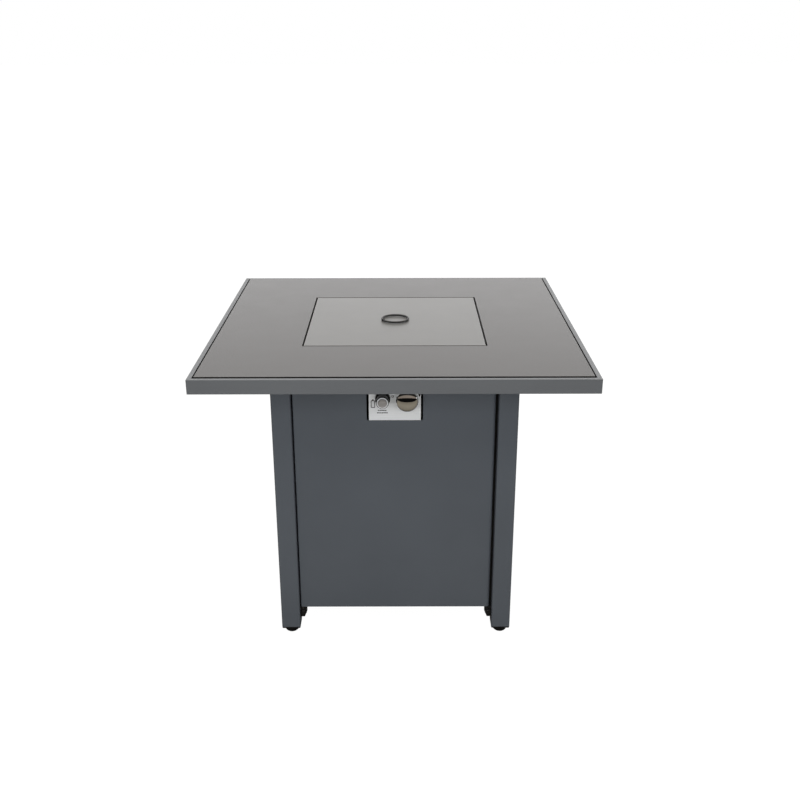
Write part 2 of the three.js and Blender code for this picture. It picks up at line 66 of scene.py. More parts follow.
# Colours of the two walls, from the horizon (0) to straight up (1).
FRONT_WALL = (
    (0.00, (0.004, 0.003, 0.003)),
    (0.02, (0.004, 0.003, 0.003)),
    (0.05, (0.085, 0.072, 0.062)),
    (0.40, (0.085, 0.072, 0.062)),
    (0.62, (0.20, 0.20, 0.20)),
    (0.80, (0.98, 0.94, 0.89)),
    (1.00, (1.10, 1.04, 0.98)),
)
BACK_WALL = (
    (0.00, (0.40, 0.40, 0.41)),
    (0.20, (0.80, 0.80, 0.81)),
    (0.26, (0.66, 0.66, 0.66)),
    (0.35, (0.18, 0.18, 0.18)),
    (0.50, (0.34, 0.34, 0.34)),
    (0.75, (0.96, 0.92, 0.87)),
    (1.00, (1.10, 1.04, 0.98)),
)

FILL_POWER = 8.7
FILL_WIDTH = 1.6
FILL_HEIGHT = 0.7
FILL_PLACE = Vector((-0.02, -1.15, 0.74))
FILL_AIM = Vector((0, -0.3, 0.45))


def make_camera():
    data = bpy.data.cameras.new("camera")
    data.sensor_width = 36
    data.lens = CAMERA_LENS
    camera = bpy.data.objects.new("camera", data)
    camera.location = CAMERA_PLACE
    camera.rotation_euler = Euler([math.radians(angle) for angle in CAMERA_ANGLES])
    bpy.context.scene.collection.objects.link(camera)
    bpy.context.scene.camera = camera


def colour_ramp(tree, value, stops):
    """Colours at positions from 0 to 1, and a smooth change between them."""
    node = tree.nodes.new("ShaderNodeValToRGB")
    node.color_ramp.interpolation = "EASE"
    elements = node.color_ramp.elements
    while len(elements) < len(stops):
        elements.new(0.5)
    for element, (position, colour) in zip(elements, stops):
        element.position = position
        element.color = (*colour, 1)
    tree.links.new(value, node.inputs[0])
    return node.outputs[0]


def make_world():
    """White backdrop for the camera. The light comes from overhead and from behind. The
    camera's side is dark at eye level with a warm ceiling, and the right is the brighter side."""
    world = bpy.data.worlds.new("studio")
    bpy.context.scene.world = world
    world.use_nodes = True
    tree = world.node_tree
    tree.nodes.clear()
    new = tree.nodes.new
    link = tree.links.new
    coordinates = new("ShaderNodeTexCoord")
    direction = new("ShaderNodeSeparateXYZ")
    link(coordinates.outputs["Generated"], direction.inputs[0])

    def change(axis, start, end, low, high):
        """Goes from low to high as the direction turns along an axis."""
        node = new("ShaderNodeMapRange")
        node.interpolation_type = "SMOOTHSTEP"
        link(direction.outputs[axis], node.inputs["Value"])
        node.inputs["From Min"].default_value = start
        node.inputs["From Max"].default_value = end
        node.inputs["To Min"].default_value = low
        node.inputs["To Max"].default_value = high
        return node.outputs["Result"]

    walls = new("ShaderNodeMix")
    walls.data_type = "RGBA"
    link(change("Y", -0.45, 0.25, 0.0, 1.0), walls.inputs[0])
    link(colour_ramp(tree, direction.outputs["Z"], FRONT_WALL), walls.inputs[6])
    link(colour_ramp(tree, direction.outputs["Z"], BACK_WALL), walls.inputs[7])

    strength = new("ShaderNodeMath")
    strength.operation = "MULTIPLY"
    strength.inputs[1].default_value = STUDIO_LEVEL
    link(change("X", -0.8, 0.8, LEFT_LEVEL, RIGHT_LEVEL), strength.inputs[0])
    lighting = new("ShaderNodeBackground")
    link(walls.outputs[2], lighting.inputs["Color"])
    link(strength.outputs[0], lighting.inputs["Strength"])
    backdrop = new("ShaderNodeBackground")
    backdrop.inputs["Color"].default_value = (1, 1, 1, 1)
    path = new("ShaderNodeLightPath")
    mix = new("ShaderNodeMixShader")
    link(path.outputs["Is Camera Ray"], mix.inputs[0])
    link(lighting.outputs[0], mix.inputs[1])
    link(backdrop.outputs[0], mix.inputs[2])
    output = new("ShaderNodeOutputWorld")
    link(mix.outputs[0], output.inputs["Surface"])


def make_fill_light():
    """Large soft light in front, a little above the tabletop. It has no mirror image, so the
    polished controls still show the dark studio in front of them."""
    data = bpy.data.lights.new("fill", "AREA")
    data.shape = "RECTANGLE"
    data.size = FILL_WIDTH
    data.size_y = FILL_HEIGHT
    data.energy = FILL_POWER
    light = bpy.data.objects.new("fill", data)
    light.location = FILL_PLACE
    light.rotation_euler = (FILL_AIM - FILL_PLACE).to_track_quat("-Z", "Y").to_euler()
    light.visible_camera = False
    light.visible_glossy = False
    bpy.context.scene.collection.objects.link(light)


# ---------------------------------------------------------------- materials

BLACK = (0.006, 0.006, 0.0065)
# Painted light and shade: the base and the rim wear one charcoal paint in two copies. The base's darker, bluer
# copy is painted shade under the tabletop, and the rim's lighter, less blue copy is painted light.
CHARCOAL = (0.086, 0.099, 0.117)
RIM_TONE_LIT = (0.094, 0.101, 0.109)
FLOOR_GREY = (0.106, 0.099, 0.083)

# Painted shade: the tabletop panel and the rim are painted black on the edges that face the gap between them,
# where the gap's shadow falls.
PANEL_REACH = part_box("tabletop_panel")[1].x
RIM_GAP = 0.0032
GAP_SHADE_WIDTH = 0.0004

# The floor turns dark here, in front of the camera.
FLOOR_DARK_START = -1.80
FLOOR_DARK_END = -1.95


class Surface:
    """A material's node tree, with short ways to add nodes. Patterns run from 0 to 1."""

    def __init__(self, name):
        self.material = bpy.data.materials.new(name)
        self.material.use_nodes = True
        self.tree = self.material.node_tree
        self.shader = self.tree.nodes["Principled BSDF"]
        coordinates = self.tree.nodes.new("ShaderNodeTexCoord")
        self.place = coordinates.outputs["Object"]

    def link(self, source, target):
        self.tree.links.new(source, target)

    def stretched(self, scale):
        """Object coordinates scaled along each axis."""
        mapping = self.tree.nodes.new("ShaderNodeMapping")
        mapping.inputs["Scale"].default_value = scale
        self.link(self.place, mapping.inputs["Vector"])
        return mapping.outputs[0]

    def noise(self, scale, detail=2.0, roughness=0.5, place=None):
        node = self.tree.nodes.new("ShaderNodeTexNoise")
        node.inputs["Scale"].default_value = scale
        node.inputs["Detail"].default_value = detail
        node.inputs["Roughness"].default_value = roughness
        self.link(place or self.place, node.inputs["Vector"])
        return node.outputs["Fac"]

    def cells(self, scale):
        node = self.tree.nodes.new("ShaderNodeTexVoronoi")
        node.inputs["Scale"].default_value = scale
        self.link(self.place, node.inputs["Vector"])
        return node.outputs["Distance"]

    def spread(self, value, low=0.0, high=1.0, start=0.3, end=0.7):
        """Stretches the part of a pattern from start to end over the range from low to high."""
        node = self.tree.nodes.new("ShaderNodeMapRange")
        self.link(value, node.inputs["Value"])
        node.inputs["From Min"].default_value = start
        node.inputs["From Max"].default_value = end
        node.inputs["To Min"].default_value = low
        node.inputs["To Max"].default_value = high
        return node.outputs["Result"]

    def blend(self, value, first, second):
        """A colour between first and second by a pattern. Each is a node's output or a colour."""
        node = self.tree.nodes.new("ShaderNodeMix")
        node.data_type = "RGBA"
        self.link(value, node.inputs[0])
        for socket, colour in ((node.inputs[6], first), (node.inputs[7], second)):
            if hasattr(colour, "node"):
                self.link(colour, socket)
            else:
                socket.default_value = (*colour, 1)
        return node.outputs[2]

    def add(self, first, second, share):
        """The first pattern plus a share of the second."""
        node = self.tree.nodes.new("ShaderNodeMath")
        node.operation = "MULTIPLY_ADD"
        self.link(second, node.inputs[0])
        node.inputs[1].default_value = share
        self.link(first, node.inputs[2])
        return node.outputs[0]

    def outside(self, reach):
        """1 where the place lies further than reach from the table's axis in x or y, else 0."""
        split = self.tree.nodes.new("ShaderNodeSeparateXYZ")
        self.link(self.place, split.inputs[0])
        furthest = self.tree.nodes.new("ShaderNodeMath")
        furthest.operation = "MAXIMUM"
        for axis, socket in zip(("X", "Y"), furthest.inputs):
            distance = self.tree.nodes.new("ShaderNodeMath")
            distance.operation = "ABSOLUTE"
            self.link(split.outputs[axis], distance.inputs[0])
            self.link(distance.outputs[0], socket)
        soft = 0.0001
        return self.spread(furthest.outputs[0], start=reach - soft, end=reach + soft)

    def bump(self, pattern, depth):
        """Relief of a pattern, depth metres deep."""
        node = self.tree.nodes.new("ShaderNodeBump")
        node.inputs["Strength"].default_value = 1.0
        node.inputs["Distance"].default_value = depth
        self.link(pattern, node.inputs["Height"])
        self.link(node.outputs[0], self.shader.inputs["Normal"])

    def colour(self, source):
        self.link(source, self.shader.inputs["Base Color"])

    def roughness(self, source):
        self.link(source, self.shader.inputs["Roughness"])

    def metallic(self, value):
        self.shader.inputs["Metallic"].default_value = value

    def specular(self, value):
        self.shader.inputs["Specular IOR Level"].default_value = value


def shade(colour, factor):
    return tuple(channel * factor for channel in colour)


def powder_coat(name, colour, roughness, mottle=0.05, peel=1.0, painted_shade_past=None, painted_shade_within=None):
    """Baked paint: fine orange peel, slight mottling and faint handling marks. It can carry painted shade: black
    past a distance from the table's axis, or within one."""
    surface = Surface(name)
    clouds = surface.noise(6.0, detail=4.0)
    grain = surface.noise(700.0)
    tone = surface.spread(surface.add(clouds, grain, 0.35), start=0.45, end=0.9)
    paint = surface.blend(tone, shade(colour, 1 - mottle), shade(colour, 1 + mottle))
    # Painted shade: black past or within a reach from the table's axis, on edges that face a shaded gap.
    if painted_shade_past:
        paint = surface.blend(surface.outside(painted_shade_past), paint, BLACK)
    if painted_shade_within:
        paint = surface.blend(surface.outside(painted_shade_within), BLACK, paint)
    surface.colour(paint)
    smears = surface.noise(14.0, detail=5.0, roughness=0.6)
    surface.roughness(surface.spread(smears, roughness - 0.5 * mottle, roughness + 0.6 * mottle))
    orange_peel = surface.add(surface.noise(420.0, detail=1.0), surface.noise(1400.0, detail=1.0), 0.3)
    surface.bump(orange_peel, 0.00005 * peel)
    surface.specular(0.5)
    return surface.material


def brushed_metal(name, colour, roughness, metallic=1.0):
    """Metal brushed along x, with uneven polish."""
    surface = Surface(name)
    along_x = surface.stretched((8.0, 900.0, 900.0))
    lines = surface.noise(1.0, detail=3.0, roughness=0.7, place=along_x)
    clouds = surface.noise(9.0, detail=3.0)
    surface.colour(surface.blend(surface.spread(lines), shade(colour, 0.86), shade(colour, 1.06)))
    polish = surface.spread(lines, roughness - 0.06, roughness + 0.08)
    surface.roughness(surface.add(polish, clouds, 0.08))
    surface.bump(lines, 0.00001)
    surface.metallic(metallic)
    return surface.material


def polished_metal(name, colour, roughness=0.03):
    """Plated mirror finish with faint hairlines and a little haze."""
    surface = Surface(name)
    haze = surface.noise(60.0, detail=3.0)
    across_x = surface.stretched((1800.0, 60.0, 500.0))
    hairlines = surface.noise(1.0, roughness=0.6, place=across_x)
    surface.colour(surface.blend(surface.spread(haze), shade(colour, 0.97), colour))
    polish = surface.spread(haze, roughness, roughness + 0.03)
    surface.roughness(surface.add(polish, hairlines, 0.02))
    surface.bump(hairlines, 0.0000006)
    surface.metallic(1.0)
    return surface.material


def moulded_plastic(name, colour, roughness, specular=0.3):
    """Black moulding with a spark-eroded grain and pale scuffs."""
    surface = Surface(name)
    grain = surface.noise(1600.0)
    scuffs = surface.noise(45.0, detail=5.0, roughness=0.7)
    worn = surface.spread(scuffs, start=0.52, end=0.8)
    surface.colour(surface.blend(worn, colour, shade(colour, 1.6)))
    surface.roughness(surface.spread(scuffs, roughness - 0.05, roughness + 0.1))
    surface.bump(grain, 0.00004)
    surface.specular(specular)
    return surface.material


def cast_brass(name):
    """Turned brass with stains."""
    surface = Surface(name)
    stain = surface.noise(40.0, detail=5.0, roughness=0.65)
    grooves = surface.stretched((300.0, 1500.0, 1500.0))
    turning = surface.noise(1.0, roughness=0.6, place=grooves)
    surface.colour(surface.blend(surface.spread(stain), (0.50, 0.33, 0.11), (0.68, 0.48, 0.20)))
    surface.roughness(surface.add(surface.spread(stain, 0.26, 0.42), turning, 0.08))
    surface.bump(turning, 0.00001)
    surface.metallic(1.0)
    return surface.material


def mill_aluminium(name):
    """Bare metal rolled along x."""
    surface = Surface(name)
    along_x = surface.stretched((10.0, 500.0, 500.0))
    rolling = surface.noise(1.0, detail=3.0, roughness=0.6, place=along_x)
    spots = surface.noise(30.0, detail=4.0)
    surface.colour(surface.blend(surface.spread(rolling), (0.46, 0.47, 0.48), (0.58, 0.59, 0.60)))
    surface.roughness(surface.add(surface.spread(rolling, 0.28, 0.4), spots, 0.1))
    surface.bump(rolling, 0.00001)
    surface.metallic(1.0)
    return surface.material


def fired_ceramic(name):
    """Cream ceramic with fine speckles."""
    surface = Surface(name)
    speckle = surface.noise(900.0, detail=3.0)
    surface.colour(surface.blend(surface.spread(speckle), (0.70, 0.66, 0.58), (0.86, 0.83, 0.77)))
    surface.roughness(surface.spread(speckle, 0.45, 0.6))
    surface.bump(speckle, 0.00003)
    return surface.material


def lava(name):
    """Porous rock, dark with rusty patches, and near black in its pores as painted shade."""
    surface = Surface(name)
    patches = surface.noise(38.0, detail=4.0, roughness=0.6)
    pores = surface.cells(330.0)
    fine = surface.noise(900.0, detail=4.0, roughness=0.7)
    rust = surface.spread(patches, start=0.4, end=0.62)
    body = surface.blend(rust, (0.030, 0.026, 0.025), (0.105, 0.045, 0.030))
    # Painted shade: the pores are near black.
    out_of_pore_shade = surface.spread(pores, start=0.15, end=0.5)
    surface.colour(surface.blend(out_of_pore_shade, (0.010, 0.008, 0.008), body))
    surface.roughness(surface.spread(fine, 0.82, 1.0))
    surface.bump(surface.add(pores, fine, 0.5), 0.0016)
    return surface.material


def printed_ink(name, colour):
    """Flat black print with a fine screen grain."""
    surface = Surface(name)
    speckle = surface.noise(2500.0)
    surface.colour(surface.blend(surface.spread(speckle), colour, shade(colour, 1.5)))
    surface.roughness(surface.spread(speckle, 0.45, 0.6))
    surface.bump(speckle, 0.000005)
    return surface.material


def studio_floor(name):
    """Floor that the camera sees almost white. It lights the object as a warm grey floor that
    turns dark in front of the camera."""
    surface = Surface(name)
    clouds = surface.noise(1.2, detail=3.0)
    near = surface.blend(surface.spread(clouds), FLOOR_GREY, shade(FLOOR_GREY, 1.04))
    split = surface.tree.nodes.new("ShaderNodeSeparateXYZ")
    surface.link(surface.place, split.inputs[0])
    dark = surface.spread(split.outputs["Y"], start=FLOOR_DARK_START, end=FLOOR_DARK_END)
    surface.colour(surface.blend(dark, near, (0.002, 0.002, 0.002)))
    surface.roughness(surface.spread(clouds, 0.75, 0.85))
    surface.specular(0.0)

    new = surface.tree.nodes.new
    pale = new("ShaderNodeBsdfDiffuse")
    pale.inputs["Color"].default_value = (0.8, 0.8, 0.8, 1)
    glow = new("ShaderNodeEmission")
    glow.inputs["Strength"].default_value = 1.05
    washed = new("ShaderNodeMixShader")
    washed.inputs[0].default_value = 0.94
    surface.link(pale.outputs[0], washed.inputs[1])
    surface.link(glow.outputs[0], washed.inputs[2])
    path = new("ShaderNodeLightPath")
    seen = new("ShaderNodeMixShader")
    surface.link(path.outputs["Is Camera Ray"], seen.inputs[0])
    surface.link(surface.shader.outputs[0], seen.inputs[1])
    surface.link(washed.outputs[0], seen.inputs[2])
    surface.link(seen.outputs[0], surface.tree.nodes["Material Output"].inputs["Surface"])
    return surface.material


MATERIALS = {
    "charcoal_paint": powder_coat("charcoal_paint", CHARCOAL, 0.42),
    # Painted shade: the rim is black on its inner edges, in the gap beside the tabletop panel.
    "rim_paint_gap_shade": powder_coat(
        "rim_paint_gap_shade", RIM_TONE_LIT, 0.42, painted_shade_within=PANEL_REACH + RIM_GAP + GAP_SHADE_WIDTH,
    ),
    # Painted shade: the tabletop panel is black on its outer edges, in the gap beside the rim.
    "tabletop_paint": powder_coat(
        "tabletop_paint", (0.048, 0.046, 0.045), 0.30, mottle=0.02, peel=0.5,
        painted_shade_past=PANEL_REACH - GAP_SHADE_WIDTH,
    ),
    "lid_paint": powder_coat("lid_paint", (0.104, 0.105, 0.104), 0.30, mottle=0.02, peel=0.4),
    "black_steel": powder_coat("black_steel", BLACK, 0.45, mottle=0.2),
    "stainless": brushed_metal("stainless", (0.42, 0.425, 0.43), 0.34),
    "satin_stainless": brushed_metal("satin_stainless", (0.82, 0.85, 0.88), 0.45, metallic=0.15),
    "dull_chrome": brushed_metal("dull_chrome", (0.46, 0.45, 0.45), 0.3, metallic=0.5),
    "chrome": polished_metal("chrome", (0.94, 0.93, 0.91)),
    "brass": cast_brass("brass"),
    "aluminium": mill_aluminium("aluminium"),
    "ceramic": fired_ceramic("ceramic"),
    "lava_rock": lava("lava_rock"),
    "black_plastic": moulded_plastic("black_plastic", BLACK, 0.45),
    "black_gloss": moulded_plastic("black_gloss", BLACK, 0.15, specular=0.1),
    "printed_ink": printed_ink("printed_ink", (0.02, 0.02, 0.022)),
}


# ---------------------------------------------------------------- mesh building

def upright(x, y, z=0.0):
    """Stands a turned shape up, its heights counted from z."""
    return Matrix.Translation((x, y, z))


def facing_front(x, y, z):
    """Lays a turned shape down, its heights counted from y towards the front."""
    return Matrix.Translation((x, y, z)) @ Matrix.Rotation(math.radians(90), 4, "X")


def on_circle(radius, angle, height=0.0):
    return Vector((radius * math.cos(angle), radius * math.sin(angle), height))


def rounded(profile, steps=5):
    """A closed profile of (radius, height, corner radius), its corners turned into arcs."""
    points = []
    count = len(profile)
    for i, (r, h, corner) in enumerate(profile):
        here = Vector((r, h))
        before = Vector(profile[i - 1][:2]) - here
        after = Vector(profile[(i + 1) % count][:2]) - here
        if corner <= 0:
            points.append(here)
            continue
        half_angle = before.angle(after) / 2
        setback = min(corner / math.tan(half_angle), before.length * 0.49, after.length * 0.49)
        start = here + before.normalized() * setback
        end = here + after.normalized() * setback
        for step in range(steps + 1):
            t = step / steps
            points.append(start * (1 - t) ** 2 + here * 2 * t * (1 - t) + end * t ** 2)
    return points


def circle_profile(ring_radius, wire_radius, steps=24):
    angles = [math.tau * k / steps for k in range(steps)]
    return [(ring_radius + wire_radius * math.cos(a), wire_radius * math.sin(a)) for a in angles]


def thread(radius, low, high, pitch):
    """Outline of an outside thread, as (radius, height) points from low to high."""
    depth = 0.35 * pitch
    points = []
    for k in range(int((high - low) / pitch)):
        points.append((radius - depth, low + k * pitch))
        points.append((radius, low + (k + 0.5) * pitch))
    return points


def lathe(bm, profile, place, sides=64):
    """Turns a closed profile about the place's axis. Points on the axis become one vertex."""
    rings = []
    for r, h in profile:
        if r < 1e-7:
            rings.append([bm.verts.new(place @ on_circle(0, 0, h))])
        else:
            circle = [on_circle(r, math.tau * k / sides, h) for k in range(sides)]
            rings.append([bm.verts.new(place @ point) for point in circle])
    for first, second in zip(rings, rings[1:] + rings[:1]):
        for k in range(sides):
            after = (k + 1) % sides
            loop = [first[k % len(first)], first[after % len(first)],
                    second[after % len(second)], second[k % len(second)]]
            corners = list(dict.fromkeys(loop))
            if len(corners) > 2:
                bm.faces.new(corners)


def loft(bm, loops, hollow=False):
    """Skin between closed loops of points, each with as many points. Both ends are closed, or
    the last loop joins the first on a hollow shape."""
    rings = [[bm.verts.new(point) for point in loop] for loop in loops]
    count = len(rings[0])
    for first, second in zip(rings, rings[1:] + (rings[:1] if hollow else [])):
        for k in range(count):
            after = (k + 1) % count
            bm.faces.new((first[k], first[after], second[after], second[k]))
    if not hollow:
        bm.faces.new(rings[0])
        bm.faces.new(rings[-1])


def tube(bm, path, radii, sides=16):
    """Round cord along a path, with its own radius at each point and closed ends."""
    across = (path[1] - path[0]).orthogonal()
    loops = []
    for i, point in enumerate(path):
        ahead = (path[min(i + 1, len(path) - 1)] - path[max(i - 1, 0)]).normalized()
        across = (across - ahead * across.dot(ahead)).normalized()
        beside = ahead.cross(across)
        loops.append([
            point + radii[i] * (across * math.cos(a) + beside * math.sin(a))
            for a in (math.tau * k / sides for k in range(sides))
        ])
    loft(bm, loops)


def smooth_path(points, steps):
    """Catmull-Rom curve through the points, with steps pieces between each two."""
    points = [Vector(point) for point in points]
    ends = [2 * points[0] - points[1]] + points + [2 * points[-1] - points[-2]]
    path = []
    for a, b, c, d in zip(ends, ends[1:], ends[2:], ends[3:]):
        for step in range(steps):
            t = step / steps
            path.append(0.5 * (2 * b + (c - a) * t + (2 * a - 5 * b + 4 * c - d) * t ** 2
                               + (3 * b - a - 3 * c + d) * t ** 3))
    return path + [points[-1]]


def block(low, high):
    bm = bmesh.new()
    bmesh.ops.create_cube(bm, size=1)
    centre = (Vector(low) + Vector(high)) / 2
    size = Vector(high) - Vector(low)
    shape = Matrix.Translation(centre) @ Matrix.Diagonal((*size, 1))
    bmesh.ops.transform(bm, matrix=shape, verts=bm.verts)
    return bm


def round_bar(radius, low, high, place):
    bm = bmesh.new()
    lathe(bm, [(0, low), (radius, low), (radius, high), (0, high)], place, 40)
    bmesh.ops.recalc_face_normals(bm, faces=bm.faces)
    return bm


# ---------------------------------------------------------------- pieces

CREASE = 35


def middle(name):
    low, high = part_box(name)
    return (Vector(low) + Vector(high)) / 2


def soften(mesh, crease):
    """Smooth faces, with crisp edges where they meet at more than the crease angle."""
    mesh.shade_smooth()
    mesh.set_sharp_from_angle(angle=math.radians(crease))


def finish_piece(name, bm, slot, body, replaced=(), crease=CREASE, finish=None):
    """Makes the bmesh a piece of the object. The finish is the slot's own unless another is
    named."""
    bmesh.ops.recalc_face_normals(bm, faces=bm.faces)
    mesh = bpy.data.meshes.new(name)
    bm.to_mesh(mesh)
    bm.free()
    soften(mesh, crease)
    mesh.materials.append(MATERIALS[finish or slot])
    piece = bpy.data.objects.new(name, mesh)
    bpy.context.scene.collection.objects.link(piece)
    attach(piece, body)
    if replaced:
        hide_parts(*replaced)
    return piece


def turned_piece(name, profile, place, sides, slot, body, replaced, finish=None):
    bm = bmesh.new()
    lathe(bm, profile, place, sides)
    return finish_piece(name, bm, slot, body, replaced, finish=finish)


def drawn_piece(name, path, radii, sides, slot, body, replaced, finish=None):
    bm = bmesh.new()
    tube(bm, path, radii, sides)
    return finish_piece(name, bm, slot, body, replaced, finish=finish)


def combine(piece, tools, operation):
    """Joins closed meshes to a piece, or cuts them out of it, for good."""
    for tool_bm in tools:
        mesh = bpy.data.meshes.new("tool")
        tool_bm.to_mesh(mesh)
        tool_bm.free()
        tool = bpy.data.objects.new("tool", mesh)
        bpy.context.scene.collection.objects.link(tool)
        step = piece.modifiers.new("combine", "BOOLEAN")
        step.operation = operation
        step.solver = "EXACT"
        step.object = tool
        whole = piece.evaluated_get(bpy.context.evaluated_depsgraph_get())
        piece.data = bpy.data.meshes.new_from_object(whole)
        piece.modifiers.clear()
        bpy.data.objects.remove(tool)
    soften(piece.data, CREASE)


# The nodes whose finish isn't their slot's own.
NODE_FINISHES = {f"rim_{side}": "rim_paint_gap_shade" for side in ("front", "back", "left", "right")}
NODE_FINISHES["control_plate"] = "satin_stainless"


def dress_nodes():
    """Gives every carried-over node its material, and softens its edges as a brake press does."""
    for name, node in NODES.items():
        node.data.materials.clear()
        node.data.materials.append(MATERIALS[NODE_FINISHES.get(name, SLOTS[name])])
        weld = node.modifiers.new("weld", "WELD")
        weld.merge_threshold = 0.00001
        bevel = node.modifiers.new("edges", "BEVEL")
        bevel.width = 0.0006
        bevel.segments = 2
        bevel.limit_method = "ANGLE"
        bevel.angle_limit = math.radians(40)
        bevel.use_clamp_overlap = True


# ---------------------------------------------------------------- controls

def make_knob():
    """Thin plated shell with a domed front, over a hub that fits the spindle."""
    low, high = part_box("control_knob")
    centre = middle("control_knob")
    radius = (high.x - low.x) / 2
    depth = high.y - low.y
    skirt = 0.62 * depth
    hub_top = skirt + 0.001
    bore = 0.0043
    hub = 0.0075
    arc_steps = 18
    arc = [math.pi / 2 * k / arc_steps for k in range(arc_steps + 1)]
    dome = [(radius * math.cos(a), skirt + (depth - skirt) * math.sin(a), 0) for a in arc]
    shell = [
        (bore, 0, 0.0003), (hub, 0, 0.0006), (hub, hub_top, 0.001),
        (radius - 0.0022, skirt - 0.002, 0.002), (radius - 0.0014, 0, 0.0004), (radius, 0, 0.0006),
    ]
    profile = rounded(shell + dome + [(0, hub_top, 0), (bore, hub_top, 0)])
    place = facing_front(centre.x, high.y, centre.z)
    turned_piece("knob_shell", profile, place, 96, "chrome", "knob", ["control_knob"])


def make_igniter():
    """Black collar with a plated lip, and the plated push button inside it."""
    low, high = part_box("igniter_collar")
    centre = middle("igniter_collar")
    place = facing_front(centre.x, high.y, centre.z)
    reach = high.y - low.y
    thread_hole, flange, barrel, mouth = 0.0108, 0.0150, 0.0124, 0.0114
    seat = 0.0086
    sleeve = rounded([
        (thread_hole, 0, 0.0003), (flange, 0, 0.0006), (flange, 0.0092, 0.0012),
        (0.0132, 0.0106, 0.0006), (barrel, 0.0110, 0.0006), (barrel, reach - 0.0012, 0.0008),
        (mouth, reach - 0.0008, 0.0003), (mouth, seat, 0), (thread_hole, seat, 0),
    ])
    turned_piece(
        "igniter_sleeve", sleeve, place, 72, "chrome", "table", ["igniter_collar"],
        finish="black_gloss",
    )
    inside, outside = 0.0093, 0.0113
    lip = rounded([
        (inside, reach - 0.0080, 0.0003), (outside, reach - 0.0080, 0.0003),
        (outside, reach - 0.0006, 0.0006), (0.0103, reach, 0.0008), (inside, reach - 0.0006, 0.0004),
    ])
    turned_piece(
        "igniter_lip", lip, place, 72, "chrome", "table", ["igniter_collar"],
        finish="satin_stainless",
    )

    low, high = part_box("igniter_button")
    place = facing_front(centre.x, high.y, centre.z)
    reach = high.y - low.y
    stem, head = 0.0040, 0.0089
    head_back = reach - 0.0145
    button = rounded([
        (0, 0, 0), (stem, 0, 0.0005), (stem, head_back, 0), (head, head_back, 0.0005),
        (head, reach - 0.0012, 0.0014), (0.0072, reach, 0.0006), (0.0060, reach - 0.0007, 0.0006),
        (0.0030, reach - 0.0009, 0.0010), (0, reach - 0.0003, 0),
    ])
    turned_piece(
        "igniter_push", button, place, 64, "chrome", "igniter", ["igniter_button"],
        finish="dull_chrome",
    )


INK_FILM = 0.00008


def ink_patch(bm, outline, front):
    """Film of ink on the control plate, over an outline of (x, z) points."""
    loft(bm, [[Vector((x, front - rise, z)) for x, z in outline] for rise in (-INK_FILM, INK_FILM)])


def ink_bar(bm, x, z, width, height, front):
    across, up = width / 2, height / 2
    ink_patch(bm, [(x - across, z - up), (x + across, z - up), (x + across, z + up), (x - across, z + up)],
              front)


def make_plate_marks():
    """Generic marks: a battery outline beside the igniter, two rows of dashes under it, and a
    small ring and a small flame on either side of the knob."""
    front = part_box("control_plate")[0].y
    igniter = middle("igniter_collar")
    knob = middle("control_knob")
    bm = bmesh.new()

    line = 0.0014
    width, height = 0.0084, 0.0155
    x = igniter.x - 0.0195
    z = igniter.z - 0.0138
    for side in (-1, 1):
        ink_bar(bm, x + side * (width - line) / 2, z, line, height, front)
        ink_bar(bm, x, z + side * (height - line) / 2, width - 2 * line, line, front)
    ink_bar(bm, x, z + height / 2 + 0.0012, 0.0030, 0.0022, front)

    chooser = random.Random(5)
    for drop, half_width in ((0.0272, 0.0085), (0.0325, 0.0102)):
        edge = -half_width
        while edge < half_width:
            dash = chooser.uniform(0.0014, 0.0034)
            ink_bar(bm, igniter.x - 0.0012 + edge + dash / 2, igniter.z - drop, dash, 0.0021, front)
            edge += dash + 0.0006

    circle = facing_front(knob.x - 0.0285, front, knob.z + 0.0030)
    inside, outside = 0.0016, 0.0026
    lathe(bm, [(inside, -INK_FILM), (outside, -INK_FILM), (outside, INK_FILM), (inside, INK_FILM)],
          circle, 24)
    flame_x = knob.x + 0.0248
    flame_z = knob.z + 0.0045
    flame = [
        (flame_x + 0.0022 * math.sin(a) * (1 - math.cos(a)) / 1.3, flame_z - 0.0035 * math.cos(a))
        for a in (math.tau * k / 20 for k in range(20))
    ]
    ink_patch(bm, flame, front)
    finish_piece("plate_marks", bm, "black_plastic", "table", finish="printed_ink")


# ---------------------------------------------------------------- lid

def make_lid_ring():
    """Pull ring, and the staple of round wire over it with both ends down on the lid."""
    low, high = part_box("lid_pull_ring")
    centre = middle("lid_pull_ring")
    wire = (high.z - low.z) / 2
    radius = (high.x - low.x) / 2 - wire
    turned_piece(
        "lid_ring", circle_profile(radius, wire), upright(*centre), 128,
        "black_steel", "pull_ring", ["lid_pull_ring"],
    )

    hinge = next(joint for joint in frame["joints"] if joint["name"] == "lid_ring_flip")
    pivot = Vector(hinge["pos_m"])
    lid_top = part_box("lid_ring_lug")[0].z
    outward = Vector((pivot.x, pivot.y, 0)).normalized()
    staple_wire = 0.0006
    clearance = 0.0003
    bend = wire + clearance + staple_wire
    arch = [
        pivot + outward * bend * math.cos(a) + Vector((0, 0, bend * math.sin(a)))
        for a in (math.pi * k / 16 for k in range(17))
    ]
    outer_foot, inner_foot = (pivot + outward * side * bend for side in (1, -1))
    outer_foot.z = inner_foot.z = lid_top + 0.0001
    path = [outer_foot] + arch + [inner_foot]
    drawn_piece(
        "lid_staple", path, [staple_wire] * len(path), 14, "black_steel", "lid", ["lid_ring_lug"],
    )


# ---------------------------------------------------------------- burner

